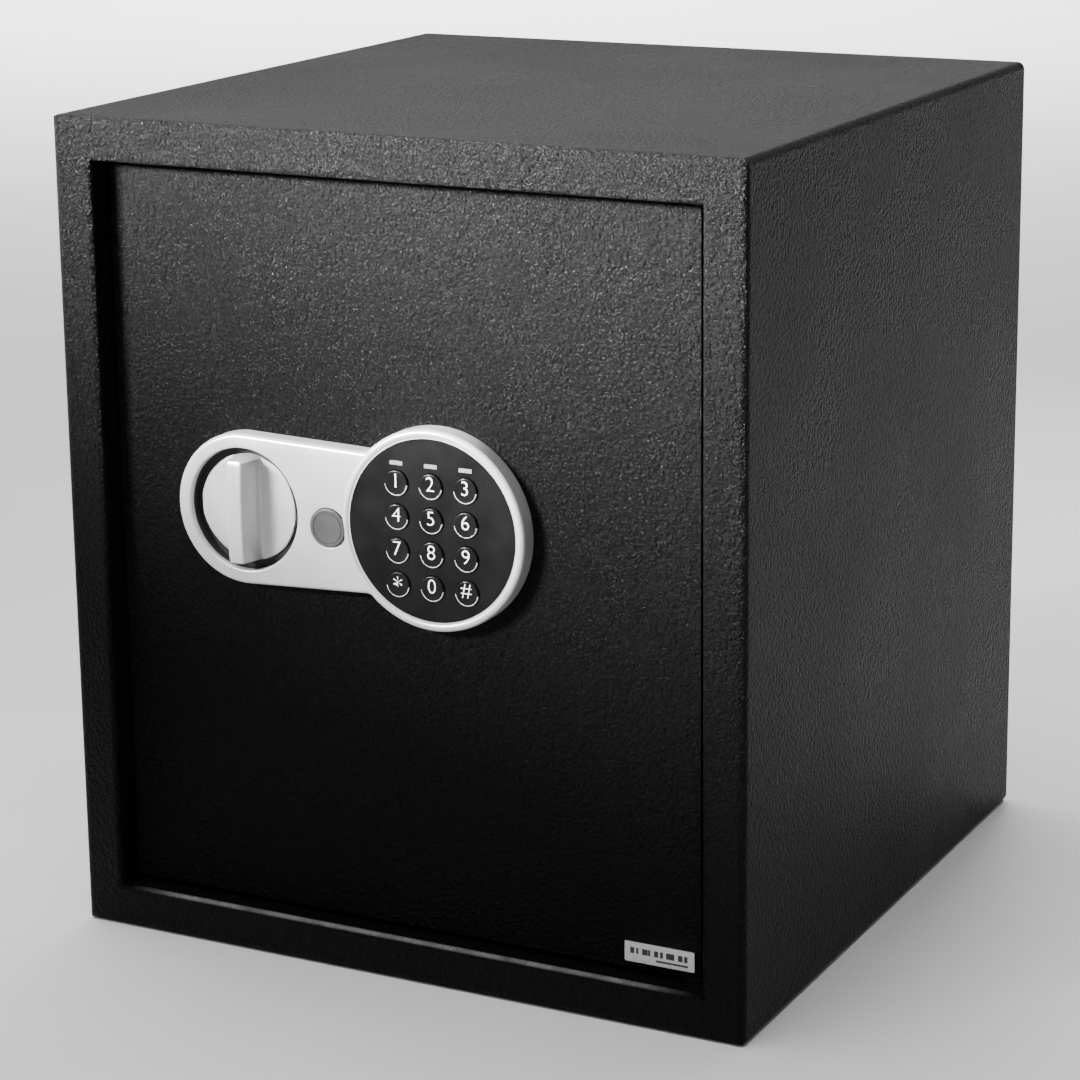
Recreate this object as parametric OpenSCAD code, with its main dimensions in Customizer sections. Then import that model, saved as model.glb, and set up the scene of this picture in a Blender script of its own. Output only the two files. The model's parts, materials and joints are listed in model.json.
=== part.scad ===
// Free-standing electronic safe: a folded steel body, a recessed hinged door with a
// motor-free knob lock, a round keypad and an override key lock.
// Millimetres. +Z is up, the door faces -Y, and the origin is the middle of the footprint
// of the whole safe, knob included. "Depth" always means the distance behind the front frame.

/* [Body] */
// Outer width of the body
body_w = 380; // [360:5:420]
// Outer depth of the body, from the front frame to the rear edge
body_d = 380; // [340:5:440]
// Outer height of the body
body_h = 430; // [420:5:480]
// Sheet thickness of the body, the frame and the door's channel
wall = 2; // [1.5:0.25:2.5]
// Outer bend radius of the body's long edges
body_r = 4; // [3:0.5:6]

/* [Front frame and door] */
// Width of the front frame's face
frame_w = 22.5; // [21:0.5:24]
// How far the door's face lies behind the frame's face
recess = 13; // [13:0.5:14]
// Thickness of the door plate
door_t = 4; // [3:0.5:5]
// Clearance round the door's free edges
door_gap = 2.5; // [2:0.25:3]
// Depth of the door, from its face to the back of its inner cover
door_depth = 45; // [45:1:50]

/* [Control panel] */
// Radius of the round end that holds the keypad
pad_r = 51; // [50:0.5:53]
// Radius of the round end that holds the knob
lobe_r = 39; // [38:0.5:40]
// Thickness of the control panel
panel_t = 10; // [10:0.5:10.5]
// Radius of one key
key_r = 6.5; // [5.5:0.25:6.75]
// Travel of one key
key_travel = 1.2; // [0.8:0.1:1.2]

/* [Lock] */
// Radius of the two locking bolts
bolt_r = 9; // [7:0.5:9]
// Throw of the locking bolts
bolt_throw = 19.8; // [19.8:0.1:20]
// Radius of the knob's round base
knob_r = 27.5; // [26:0.5:29]
// How far the knob's grip stands in front of the frame's face
knob_proud = 5; // [0:1:6]

/* [Inside] */
// Height of the shelf above the floor
shelf_z = 212; // [180:2:240]
// Thickness of the felt mat
mat_t = 3; // [2:0.5:5]

/* [Hidden] */
$fn = 64;

// Colours
paint_c = [0.07, 0.07, 0.07];
steel_c = [0.62, 0.62, 0.64];
zinc_c = [0.72, 0.70, 0.62];
silver_c = [0.82, 0.82, 0.83];
dark_c = [0.17, 0.17, 0.18];
felt_c = [0.20, 0.20, 0.21];
brass_c = [0.75, 0.60, 0.32];
board_c = [0.10, 0.32, 0.18];

// Body
front_y = knob_proud - (body_d + knob_proud) / 2; // the front frame's face
open_x = body_w / 2 - frame_w; // half of the door opening's width
lip_r = 3; // bend radius at the edge of the door opening
return_d = 30; // depth of the flange that the bolts reach behind
frame_skirt = 8; // depth at which the frame meets the body wrap
back_inset = 1; // the back panel sits this far inside the body's rear edge
anchor_r = 5; // anchor holes in the floor and the back
anchor_floor_x = 110;
anchor_floor_y = 30;
anchor_back_x = 110;
anchor_back_z = 330;
mat_hole_r = 14;

// Clearances
running = 0.1; // radial clearance of a running fit
play = 0.3; // gap between faces that move past each other

// Door
hinge_wall = 10.5; // from the hinge axis to the side of the door opening
hinge_depth = recess + 9;
hinge_x = open_x - hinge_wall;
pin_r = 3.5;
bush_r = 6;
bush_flange_r = 8;
bush_tail = 1.5; // how far the bushes and pins reach beyond the frame's flange
door_x0 = -open_x + door_gap;
door_x1 = hinge_x + 4.5;
door_z0 = frame_w + door_gap;
door_z1 = body_h - frame_w - door_gap;
plate_back = recess + door_t;
cover_back = recess + door_depth;
cover_front = cover_back - wall;
channel_x0 = door_x0 + 7;
channel_x1 = hinge_x - 7;
channel_z0 = door_z0 + 11;
channel_z1 = door_z1 - 11;
bracket_h = 30;

// Control panel, with its two round ends and the neck between them
pad_x = 22;
pad_z = body_h / 2 + 22;
lobe_x = -86;
lobe_z = pad_z - 1;
panel_front = recess - panel_t;
panel_skin = 2;
neck_end = 34.7; // half of the neck's height at the keypad's middle
well_r = 31.5;
well_floor = 2;
face_r = pad_r - 5;
face_front = panel_front + 1;
face_t = 2.5;
panel_screw_r = 1.8;
panel_screw_l = 5.5; // how far the screws reach into the panel
screw_places = [[-48, lobe_z + 27], [-48, lobe_z - 27], [pad_x + 46, pad_z]];

// Keypad
key_pitch_x = 19.15;
key_pitch_z = 17.15;
key_top_z = pad_z + 22.5;
key_front = face_front - 1.2;
key_flange = face_front + face_t + 0.1;
key_flange_t = 0.9;
membrane_front = key_flange + key_flange_t + key_travel + 0.4;
lens_z = pad_z + 32.5;
lens_size = [7, 2];
board_front = recess - 2.8;

// Override lock
lock_x = -36.7;
lock_z = lobe_z - 4;
lock_r = 9.5;
plug_r = 6;
cap_r = 10;

// Knob, cam and bolts
grip_front_w = 9.4;
grip_back_w = 14.6;
shaft_r = 5;
shaft_front = 2;
cam_r = 19;
cam_t = 4;
cam_throw = bolt_throw / sqrt(2);
cam_pin_r = 3;
cam_depth = 36;
carrier_depth = 44;
carrier_t = 3;
slot_play = 0.6;
bolt_depth = return_d + 2 + bolt_r;
bolt_zs = [lobe_z - 84, lobe_z + 84];
bolt_tip = channel_x0 - 4;
tab_x = channel_x0 + 28; // face of the carrier that the bolts are fastened to
tab_half = 12; // half of each tab's height
stud_r = 3; // the threaded ends of the bolts
nut_t = 5;
post_r = 3.5;
post_x = lobe_x - 20;
post_zs = [lobe_z - 22, lobe_z + 22];

// Solenoid
plunger_x = -62;
plunger_r = 4;
plunger_depth = carrier_depth + 0.5;
coil_z0 = lobe_z - 86;
coil_z1 = lobe_z - 50;
plunger_tip = lobe_z - 40;

// Batteries and control board
cell_r = 7.25;
cell_l = 50;
cell_pitch = 15;
battery_x = 70;
battery_z = 118;
battery_w = cell_l + 10;
battery_h = 4 * cell_pitch + 5;
box_d = 18; // depth and wall of the battery box
box_t = 1.5;
leaf_t = 1;
board_x0 = 40;
board_x1 = 122;
board_z0 = 256;
board_z1 = 340;
board_depth = 30;
cable_x = 47; // the flat cable from the keypad passes through the door plate here
cable_z = 247;
reset_x = 108;
reset_z = 322;
reset_r = 3.6;

// ---- helpers ----

// Extrudes a shape drawn in X and Z from one depth to a larger one.
module slab(d0, d1) {
    translate([0, front_y + d1, 0]) rotate([90, 0, 0]) linear_extrude(d1 - d0) children();
}

// A round bar that runs front to back.
module bar_y(x, z, r, d0, d1) {
    translate([x, front_y + d0, z]) rotate([-90, 0, 0]) cylinder(r = r, h = d1 - d0);
}

// A box from one corner to the opposite one, with depths for Y.
module box(x0, d0, z0, x1, d1, z1) {
    translate([x0, front_y + d0, z0]) cube([x1 - x0, d1 - d0, z1 - z0]);
}

// A flat rectangle with round corners, from one corner to the opposite one.
module round_rect(x0, y0, x1, y1, r) {
    translate([x0 + r, y0]) square([x1 - x0 - 2 * r, y1 - y0]);
    translate([x0, y0 + r]) square([x1 - x0, y1 - y0 - 2 * r]);
    for (x = [x0 + r, x1 - r], y = [y0 + r, y1 - r]) translate([x, y]) circle(r);
}

// A slot with round ends, which runs from one point to another along X.
module slot_x(x0, x1, y, r) {
    translate([x0, y - r]) square([x1 - x0, 2 * r]);
    for (x = [x0, x1]) translate([x, y]) circle(r);
}

// A pan-head screw seen from inside the door: the head's flat side is at depth d.
module pan_screw(x, z, shank_r, head_r, d, shank_l, head_h) {
    difference() {
        union() {
            bar_y(x, z, shank_r, d - shank_l, d);
            bar_y(x, z, head_r, d, d + head_h);
        }
        for (turn = [0, 90]) translate([x, front_y + d + head_h, z]) rotate([0, turn, 0])
            cube([head_r, 1, 0.8], center = true);
    }
}

// ---- body ----

// Section of the front frame: [depth, distance in from the body's side].
module frame_section() {
    translate([body_r, 0]) square([frame_skirt - body_r, wall]);
    intersection() {
        translate([body_r, body_r]) difference() {
            circle(body_r);
            circle(body_r - wall);
        }
        square(body_r);
    }
    translate([0, body_r]) square([wall, frame_w - lip_r - body_r]);
    intersection() {
        translate([lip_r, frame_w - lip_r]) difference() {
            circle(lip_r);
            circle(lip_r - wall);
        }
        translate([0, frame_w - lip_r]) square(lip_r);
    }
    translate([lip_r, frame_w - wall]) square([return_d - lip_r, wall]);
}

// One side of the front frame, mitred at both ends, lying along X on Z = 0.
module frame_side(l) {
    intersection() {
        translate([-l / 2, front_y, 0]) rotate([90, 0, 90]) linear_extrude(l) frame_section();
        slab(-1, return_d + 1)
            polygon([[-l / 2, 0], [l / 2, 0], [l / 2 - 30, 30], [-l / 2 + 30, 30]]);
    }
}

module front_frame() color(paint_c) difference() {
    intersection() {
        translate([0, 0, body_h / 2]) for (side = [0 : 3]) {
            upright = side % 2 == 1;
            rotate([0, 90 * side, 0]) translate([0, 0, -(upright ? body_w : body_h) / 2])
                frame_side(upright ? body_h : body_w);
        }
        slab(-1, return_d + 2) round_rect(-body_w / 2, 0, body_w / 2, body_h, body_r);
    }
    for (z = [frame_w - wall / 2, body_h - frame_w + wall / 2])
        translate([hinge_x, front_y + hinge_depth, z])
            cylinder(r = bush_r, h = 3 * wall, center = true);
}

module body_wrap() color(paint_c) difference() {
    slab(frame_skirt, body_d) difference() {
        round_rect(-body_w / 2, 0, body_w / 2, body_h, body_r);
        round_rect(-body_w / 2 + wall, wall, body_w / 2 - wall, body_h - wall, body_r - wall);
    }
    for (x = [-anchor_floor_x, anchor_floor_x])
        translate([x, anchor_floor_y, -1]) cylinder(r = anchor_r, h = wall + 2);
}

module back_panel() color(paint_c) difference() {
    slab(body_d - back_inset - wall, body_d - back_inset)
        round_rect(-body_w / 2 + wall, wall, body_w / 2 - wall, body_h - wall, body_r - wall);
    for (x = [-anchor_back_x, anchor_back_x])
        bar_y(x, anchor_back_z, anchor_r, body_d - 10, body_d + 10);
}

shelf_front = 80; // depths of the shelf's front and rear lips
shelf_rear = body_d - 12;
shelf_t = 1.5;
shelf_lip = 14;
support_w = 16; // both legs of the supports' angle section
support_inset = 10;

// An angle along each side wall, which the shelf rests on.
module shelf_supports() color(paint_c) for (side = [0, 1]) mirror([side, 0, 0]) {
    x_wall = body_w / 2 - wall;
    d0 = shelf_front + support_inset;
    d1 = shelf_rear - support_inset;
    box(x_wall - support_w, d0, shelf_z - wall, x_wall, d1, shelf_z);
    box(x_wall - wall, d0, shelf_z - support_w, x_wall, d1, shelf_z);
}

// A tray-shaped shelf: a flat sheet with folded front and rear lips.
module shelf() color(paint_c) {
    x = body_w / 2 - wall - 1.5;
    lip_x = x - support_w - 2;
    z = shelf_z + 0.2;
    box(-x, shelf_front, z, x, shelf_rear, z + shelf_t);
    box(-lip_x, shelf_front, z - shelf_lip, lip_x, shelf_front + shelf_t, z);
    box(-lip_x, shelf_rear - shelf_t, z - shelf_lip, lip_x, shelf_rear, z);
}

module floor_mat() color(felt_c) difference() {
    gap = 2; // to the walls
    box(-body_w / 2 + wall + gap, return_d + 2 * gap, wall, body_w / 2 - wall - gap,
        body_d - back_inset - wall - gap, wall + mat_t);
    for (x = [-anchor_floor_x, anchor_floor_x])
        translate([x, anchor_floor_y, 0]) cylinder(r = mat_hole_r, h = 20);
}

// Flanged bushes in the frame's flanges; the lower one carries the door.
module hinge_bush(flange_h) difference() {
    union() {
        cylinder(r = bush_flange_r, h = flange_h);
        translate([0, 0, -wall - bush_tail]) cylinder(r = bush_r, h = wall + bush_tail);
    }
    translate([0, 0, -10]) cylinder(r = pin_r + running, h = 30);
}
module hinge_bushes() color(dark_c) translate([hinge_x, front_y + hinge_depth, 0]) {
    translate([0, 0, frame_w]) hinge_bush(door_gap - play);
    translate([0, 0, body_h - frame_w]) mirror([0, 0, 1]) hinge_bush(1.5);
}

// ---- door ----

module door_plate() color(paint_c) difference() {
    slab(recess, plate_back) round_rect(door_x0, door_z0, door_x1, door_z1, 2);
    bar_y(lobe_x, lobe_z, knob_bush_r, recess - 1, plate_back + 1);
    bar_y(lock_x, lock_z, lock_r, recess - 1, plate_back + 1);
    slab(recess - 1, plate_back + 1)
        round_rect(cable_x - 8, cable_z - 5, cable_x + 8, cable_z + 5, 2);
    for (p = screw_places) bar_y(p[0], p[1], 2.2, recess - 1, plate_back + 1);
}

module door_channel() color(paint_c) difference() {
    slab(plate_back, cover_front) difference() {
        round_rect(channel_x0, channel_z0, channel_x1, channel_z1, 4);
        round_rect(channel_x0 + wall, channel_z0 + wall, channel_x1 - wall,
                   channel_z1 - wall, 2);
    }
    for (z = bolt_zs) translate([channel_x0 - 1, front_y + bolt_depth, z])
        rotate([0, 90, 0]) cylinder(r = bolt_r + 0.1, h = wall + 2);
}

screw_inset = 12;
cover_screw_r = 2;
cover_screw_places = [
    for (x = [channel_x0 + screw_inset, channel_x1 - screw_inset],
         z = [channel_z0 + screw_inset, (channel_z0 + channel_z1) / 2,
              channel_z1 - screw_inset]) [x, z]
];
cover_lap = 2; // how far the cover reaches beyond the channel

// Outline of the battery box and its cover, grown by a margin.
module battery_outline(margin) {
    half = [battery_w / 2 + margin, battery_h / 2 + margin];
    round_rect(battery_x - half[0], battery_z - half[1], battery_x + half[0],
               battery_z + half[1], 3 + margin);
}

module inner_cover() color(paint_c) difference() {
    slab(cover_front, cover_back)
        round_rect(channel_x0 - cover_lap, channel_z0 - cover_lap, channel_x1 + cover_lap,
                   channel_z1 + cover_lap, 4 + cover_lap);
    slab(cover_front - 1, cover_back + 1) battery_outline(play);
    bar_y(reset_x, reset_z, reset_r + 0.4, cover_front - 1, cover_back + 1);
    for (p = cover_screw_places)
        bar_y(p[0], p[1], cover_screw_r, cover_front - 1, cover_back + 1);
}

module cover_screws() color(zinc_c)
    for (p = cover_screw_places) pan_screw(p[0], p[1], cover_screw_r, 4, cover_back, 9, 2.4);

module hinge_brackets() color(paint_c)
    for (z = [door_z0, door_z1 - bracket_h]) difference() {
        box(channel_x1, plate_back, z, hinge_x + 5, hinge_depth + 8, z + bracket_h);
        translate([hinge_x, front_y + hinge_depth, z - 1]) cylinder(r = pin_r, h = bracket_h + 2);
    }

module hinge_pins() color(steel_c) for (lower = [0, 1])
    translate([hinge_x, front_y + hinge_depth, lower * body_h]) mirror([0, 0, lower])
        translate([0, 0, frame_w - wall - bush_tail])
            cylinder(r = pin_r, h = wall + bush_tail + door_gap + bracket_h);

badge_t = 0.8;
badge_size = [37.5, 10.5];
badge_inset = [3, 3.5]; // from the door plate's lower right corner
module badge_plate() color(silver_c) slab(recess - badge_t, recess) {
    x1 = door_x1 - badge_inset[0];
    z0 = door_z0 + badge_inset[1];
    round_rect(x1 - badge_size[0], z0, x1, z0 + badge_size[1], 0.8);
}

// ---- control panel ----

// Outline of the panel, drawn in by a margin.
module panel_outline(margin) {
    translate([lobe_x, lobe_z]) circle(lobe_r - margin);
    translate([pad_x, pad_z]) circle(pad_r - margin);
    polygon([[lobe_x, lobe_z + lobe_r - margin], [pad_x, pad_z + neck_end - margin],
             [pad_x, pad_z - neck_end + margin], [lobe_x, lobe_z - lobe_r + margin]]);
}

module panel_housing() color(silver_c) difference() {
    union() {
        difference() {
            slab(panel_front, recess) panel_outline(0);
            slab(panel_front + panel_skin, recess + 1) panel_outline(wall);
        }
        bar_y(lobe_x, lobe_z, well_r + 1.5, panel_front, recess);
        for (p = screw_places) // the boss beside the keypad ends at the faceplate
            bar_y(p[0], p[1], 4, p[0] > pad_x ? face_front + face_t : panel_front + 1, recess);
    }
    bar_y(lobe_x, lobe_z, well_r, panel_front - 1, recess - well_floor);
    bar_y(lobe_x, lobe_z, knob_bush_r, panel_front, recess + 1);
    bar_y(pad_x, pad_z, face_r + 0.2, panel_front - 1, panel_front + panel_skin + 0.5);
    bar_y(lock_x, lock_z, cap_r + 0.2, panel_front - 1, panel_front + panel_skin + 1);
    for (p = screw_places)
        bar_y(p[0], p[1], panel_screw_r, recess - panel_screw_l, recess + 1);
}

module panel_screws() color(zinc_c)
    for (p = screw_places)
        pan_screw(p[0], p[1], panel_screw_r, 3.8, plate_back, door_t + panel_screw_l, 2.4);

function key_place(i) = [pad_x + (i % 3 - 1) * key_pitch_x,
                         key_top_z - floor(i / 3) * key_pitch_z];
function lens_place(i) = [pad_x + (i - 1) * key_pitch_x, lens_z];

module lens_shape(i) translate(lens_place(i)) square(lens_size, center = true);

module keypad_faceplate() color(dark_c) difference() {
    bar_y(pad_x, pad_z, face_r, face_front, face_front + face_t);
    for (i = [0 : 11]) bar_y(key_place(i)[0], key_place(i)[1], key_r + 0.3, 0, recess);
    slab(0, recess) for (i = [0 : 2]) lens_shape(i);
}

module keypad_membrane() color([0.25, 0.25, 0.27])
    slab(membrane_front, board_front) difference() {
        round_rect(pad_x - 29, pad_z - 38, pad_x + 29, pad_z + 31, 6);
        for (i = [0 : 3]) translate([pad_x, key_top_z - (i + 0.5) * key_pitch_z]) circle(1.5);
    }

module keypad_board() color(board_c) {
    slab(board_front, board_front + 1.6)
        round_rect(pad_x - 31, pad_z - 37, pad_x + 33, pad_z + 35, 3);
    box(cable_x - 7, board_front + 1.6, cable_z - 4, cable_x + 7, recess, cable_z + 4);
}

module indicator_lenses() color([0.85, 0.85, 0.8])
    slab(face_front - 0.3, face_front + face_t) for (i = [0 : 2]) lens_shape(i);

// Flat cable from the keypad, through the door plate and up to the control board.
module keypad_cable() color([0.6, 0.6, 0.62])
    translate([cable_x - 6, front_y, 0]) rotate([90, 0, 90]) linear_extrude(12) {
        bend_z = cable_z + 3.5;
        translate([recess, cable_z - 0.5]) square([9, 1]);
        intersection() {
            translate([recess + 9, bend_z]) difference() {
                circle(4);
                circle(3);
            }
            translate([recess + 9, bend_z - 4]) square(4);
        }
        translate([recess + 12, bend_z]) square([1, board_z0 + 2 - bend_z]);
    }

// ---- electronics behind the door ----

module control_board() color(board_c) {
    slab(board_depth, board_depth + 1.6) round_rect(board_x0, board_z0, board_x1, board_z1, 2);
    for (x = [board_x0 + 5, board_x1 - 5], z = [board_z0 + 14, board_z1 - 5])
        bar_y(x, z, 3, plate_back, board_depth);
    box(cable_x - 7, board_depth - 6, board_z0 + 2, cable_x + 7, board_depth, board_z0 + 9);
    box(60, board_depth + 1.6, 290, 78, board_depth + 14, 306);
    box(58, board_depth + 1.6, 266, 74, board_depth + 4.6, 280);
    bar_y(96, 276, 5, board_depth + 1.6, board_depth + 13);
    bar_y(84, 328, 4, board_depth + 1.6, board_depth + 12);
    box(reset_x - 6, board_depth + 1.6, reset_z - 6, reset_x + 6, cover_front - 9, reset_z + 6);
}

module battery_box() color(dark_c) difference() {
    in_x = battery_w / 2 - box_t;
    in_z = battery_h / 2 - box_t;
    slab(cover_front - box_d, cover_front) battery_outline(0);
    box(battery_x - in_x, cover_front - box_d + box_t, battery_z - in_z,
        battery_x + in_x, cover_front + 1, battery_z + in_z);
}

cell_depth = cover_front - 8.5;
function cell_z(i) = battery_z + (i - 1.5) * cell_pitch;

// A contact leaf and the nub that presses on the cell's end, at each end of each cell.
module battery_contacts() color(zinc_c) for (i = [0 : 3], end = [-1, 1])
    translate([battery_x, front_y + cell_depth, cell_z(i)]) {
        leaf_x = battery_w / 2 - box_t - leaf_t;
        nub_r = 2.5;
        translate([end * (leaf_x + leaf_t / 2), -0.5, 0]) cube([leaf_t, 9, 10], center = true);
        translate([end * (cell_l / 2 + leaf_x) / 2, 0, 0]) rotate([0, 90, 0])
            cylinder(r = nub_r, h = leaf_x - cell_l / 2, center = true);
    }

// Four AA cells, laid alternately.
module batteries() color([0.16, 0.16, 0.18]) for (i = [0 : 3])
    translate([battery_x, front_y + cell_depth, cell_z(i)])
        rotate([0, i % 2 == 0 ? 90 : -90, 0]) {
            tip_l = 1.5;
            translate([0, 0, -cell_l / 2]) cylinder(r = cell_r, h = cell_l - tip_l);
            translate([0, 0, cell_l / 2 - tip_l]) cylinder(r = 2.75, h = tip_l);
        }

// A flush cover with five finger grooves.
module battery_cover() color(dark_c) difference() {
    groove_x = 10;
    groove_w = 1.2;
    slab(cover_front, cover_back) battery_outline(0);
    for (i = [0 : 4]) {
        z = battery_z + 16 + 2 * groove_w * i;
        box(battery_x - groove_x, cover_back - 0.8, z, battery_x + groove_x, cover_back + 1,
            z + groove_w);
    }
}

module reset_button() color([0.75, 0.08, 0.08])
    bar_y(reset_x, reset_z, reset_r, cover_front - 7, cover_back + 1.8);

// ---- knob and bolt work ----

knob_bush_r = 8;
module knob_bush() color(brass_c) difference() {
    bar_y(lobe_x, lobe_z, knob_bush_r, recess - well_floor, plate_back + 5);
    bar_y(lobe_x, lobe_z, shaft_r + running, recess - 5, plate_back + 6);
}

knob_back = recess - well_floor - 0.4;
knob_base_t = 2;
// A round base with a tapered grip that stands upright across it.
module knob() color(silver_c) difference() {
    union() {
        bar_y(lobe_x, lobe_z, knob_r, knob_back - knob_base_t, knob_back);
        intersection() {
            translate([lobe_x, front_y, lobe_z - knob_r]) linear_extrude(2 * knob_r)
                polygon([[-grip_front_w / 2, -knob_proud], [grip_front_w / 2, -knob_proud],
                         [grip_back_w / 2, knob_back - 1], [-grip_back_w / 2, knob_back - 1]]);
            bar_y(lobe_x, lobe_z, knob_r - 1, -knob_proud - 1, knob_back);
        }
    }
    bar_y(lobe_x, lobe_z, shaft_r, shaft_front, recess);
}

module knob_shaft() color(steel_c) difference() {
    bar_y(lobe_x, lobe_z, shaft_r, shaft_front, cam_depth + cam_t);
    bar_y(lobe_x, lobe_z, 2, cam_depth - 8, cam_depth + cam_t + 1);
}

// At rest the cam's pin stands 45 degrees to the hinge side of the top.
module drive_cam() color(zinc_c) {
    difference() {
        bar_y(lobe_x, lobe_z, cam_r, cam_depth, cam_depth + cam_t);
        bar_y(lobe_x, lobe_z, shaft_r, cam_depth - 1, cam_depth + cam_t + 1);
    }
    bar_y(lobe_x + cam_throw / sqrt(2), lobe_z + cam_throw / sqrt(2), cam_pin_r,
          cam_depth + cam_t, carrier_depth + carrier_t + 2);
}

module cam_screw() color(zinc_c)
    pan_screw(lobe_x, lobe_z, 2, 7, cam_depth + cam_t, 11, 2.6);

// Slide plate that carries both bolts: a long strip, a cam slot, two guide slots and a
// lug that the solenoid's plunger stops. Notches in the strip clear the bolts' nuts.
module bolt_carrier() color(zinc_c) {
    slot_r = cam_pin_r + slot_play;
    cam_x = lobe_x + cam_throw / sqrt(2);
    difference() {
        slab(carrier_depth, carrier_depth + carrier_t) {
            translate([tab_x, bolt_zs[0] - tab_half])
                square([14, bolt_zs[1] - bolt_zs[0] + 2 * tab_half]);
            translate([tab_x, lobe_z - 31]) square([plunger_x + 16 - tab_x, 63]);
            translate([plunger_x + 8, lobe_z - 37.5]) square([6, 8]);
        }
        slab(0, 100) {
            translate([cam_x - slot_r, lobe_z + cam_throw / sqrt(2)])
                square([2 * slot_r, cam_throw * (1 - 1 / sqrt(2))]);
            for (z = [cam_throw / sqrt(2), cam_throw]) translate([cam_x, lobe_z + z])
                circle(slot_r);
            for (z = post_zs) slot_x(post_x, post_x + bolt_throw, z, post_r + play);
            for (z = bolt_zs) translate([tab_x + carrier_t, z - 7.5]) square([8, 15]);
        }
    }
    for (z = bolt_zs) difference() {
        union() {
            box(tab_x, bolt_depth - 8, z - tab_half, tab_x + carrier_t, carrier_depth,
                z + tab_half);
            box(tab_x, carrier_depth + carrier_t, z - tab_half, tab_x + carrier_t,
                bolt_depth + 8, z + tab_half);
        }
        translate([tab_x - 1, front_y + bolt_depth, z]) rotate([0, 90, 0])
            cylinder(r = stud_r, h = carrier_t + 2);
    }
}

module locking_bolt(z) color(steel_c) translate([bolt_tip, front_y + bolt_depth, z])
    rotate([0, 90, 0]) {
        cylinder(r1 = bolt_r - 1.5, r2 = bolt_r, h = 1.5);
        translate([0, 0, 1.5]) cylinder(r = bolt_r, h = tab_x - bolt_tip - 1.5);
        translate([0, 0, tab_x - bolt_tip]) cylinder(r = stud_r, h = carrier_t + nut_t + 2);
    }
module bolt_lower() locking_bolt(bolt_zs[0]);
module bolt_upper() locking_bolt(bolt_zs[1]);

module bolt_nuts() color(zinc_c) for (z = bolt_zs)
    translate([tab_x + carrier_t, front_y + bolt_depth, z]) rotate([0, 90, 0]) difference() {
        cylinder(r = 6.2, h = nut_t, $fn = 6);
        translate([0, 0, -1]) cylinder(r = stud_r, h = nut_t + 2);
    }

// Posts on the door plate, with heads that hold the carrier.
module carrier_guide_posts() color(steel_c) for (z = post_zs) {
    head_depth = carrier_depth + carrier_t + play;
    bar_y(post_x, z, post_r, plate_back, head_depth);
    bar_y(post_x, z, post_r + 3, head_depth, head_depth + 2.5);
}

// ---- solenoid ----

coil_half = 11;
yoke_t = 2; // sheet of the solenoid's frame

// A sheet frame round the coil, on two legs that stand on the door plate.
module solenoid_frame() color(zinc_c) difference() {
    d0 = plunger_depth - 10;
    d1 = plunger_depth + 9.5;
    x0 = plunger_x - coil_half - yoke_t;
    x1 = plunger_x + coil_half + yoke_t;
    union() {
        for (z = [coil_z0, coil_z1 - yoke_t]) {
            box(x0, d0, z, x1, d1, z + yoke_t);
            box(plunger_x - 5, plate_back, z, plunger_x + 5, d0, z + yoke_t);
        }
        for (x = [x0, x1 - yoke_t]) box(x, d0, coil_z0, x + yoke_t, d1, coil_z1);
    }
    translate([plunger_x, front_y + plunger_depth, coil_z0 + 6])
        cylinder(r = plunger_r + running, h = 60);
}

module solenoid_coil() color([0.45, 0.16, 0.10])
    translate([plunger_x, front_y + plunger_depth, coil_z0 + yoke_t]) difference() {
        cylinder(r = 9.2, h = coil_z1 - coil_z0 - 2 * yoke_t);
        translate([0, 0, 4]) cylinder(r = plunger_r + running, h = 60);
    }

collar_z = coil_z1 + 5;
module solenoid_plunger() color(steel_c) translate([plunger_x, front_y + plunger_depth, 0]) {
    translate([0, 0, coil_z0 + 7]) cylinder(r = plunger_r, h = plunger_tip - 1 - coil_z0 - 7);
    translate([0, 0, plunger_tip - 1]) cylinder(r1 = plunger_r, r2 = plunger_r - 1, h = 1);
    translate([0, 0, collar_z]) cylinder(r = 6, h = 1);
}

// Compression spring between the solenoid's frame and the plunger's collar, swept as a helix.
spring_r = 5;
wire_r = 0.45;
spring_turns = 4;
spring_steps = 14; // rings in one turn
spring_sides = 6;
spring_gap = 0.05; // at each end of the spring
spring_l = collar_z - coil_z1 - 2 * (wire_r + spring_gap);
function spring_point(i, j) = let (
        a = 360 * i / spring_steps,
        b = 360 * j / spring_sides,
        r = spring_r + wire_r * cos(b)
    ) [r * cos(a), r * sin(a),
       wire_r + spring_gap + spring_l * i / (spring_turns * spring_steps) + wire_r * sin(b)];
module plunger_spring() color(steel_c)
    translate([plunger_x, front_y + plunger_depth, coil_z1]) {
        rings = spring_turns * spring_steps;
        n = spring_sides;
        polyhedron(
            points = [for (i = [0 : rings], j = [0 : n - 1]) spring_point(i, j)],
            faces = [
                [for (j = [0 : n - 1]) j],
                for (i = [0 : rings - 1], j = [0 : n - 1])
                    [i * n + j, (i + 1) * n + j, (i + 1) * n + (j + 1) % n, i * n + (j + 1) % n],
                [for (j = [n - 1 : -1 : 0]) rings * n + j]
            ]);
    }

// ---- override key lock ----

barrel_front = panel_front + panel_skin + 1.5;
barrel_back = 40;
module lock_barrel() color(steel_c) difference() {
    bar_y(lock_x, lock_z, lock_r, barrel_front, barrel_back);
    bar_y(lock_x, lock_z, plug_r + running, barrel_front - 1, barrel_back + 1);
}

module lock_nut() color(zinc_c) slab(plate_back, plate_back + 5) difference() {
    translate([lock_x, lock_z]) circle(r = 14.5, $fn = 6);
    translate([lock_x, lock_z]) circle(lock_r);
}

module lock_plug() color(brass_c) difference() {
    bar_y(lock_x, lock_z, plug_r, barrel_front, barrel_back + 2);
    box(lock_x - 0.8, barrel_front - 1, lock_z - 4, lock_x + 0.8, barrel_back - 8, lock_z + 4);
}

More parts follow.
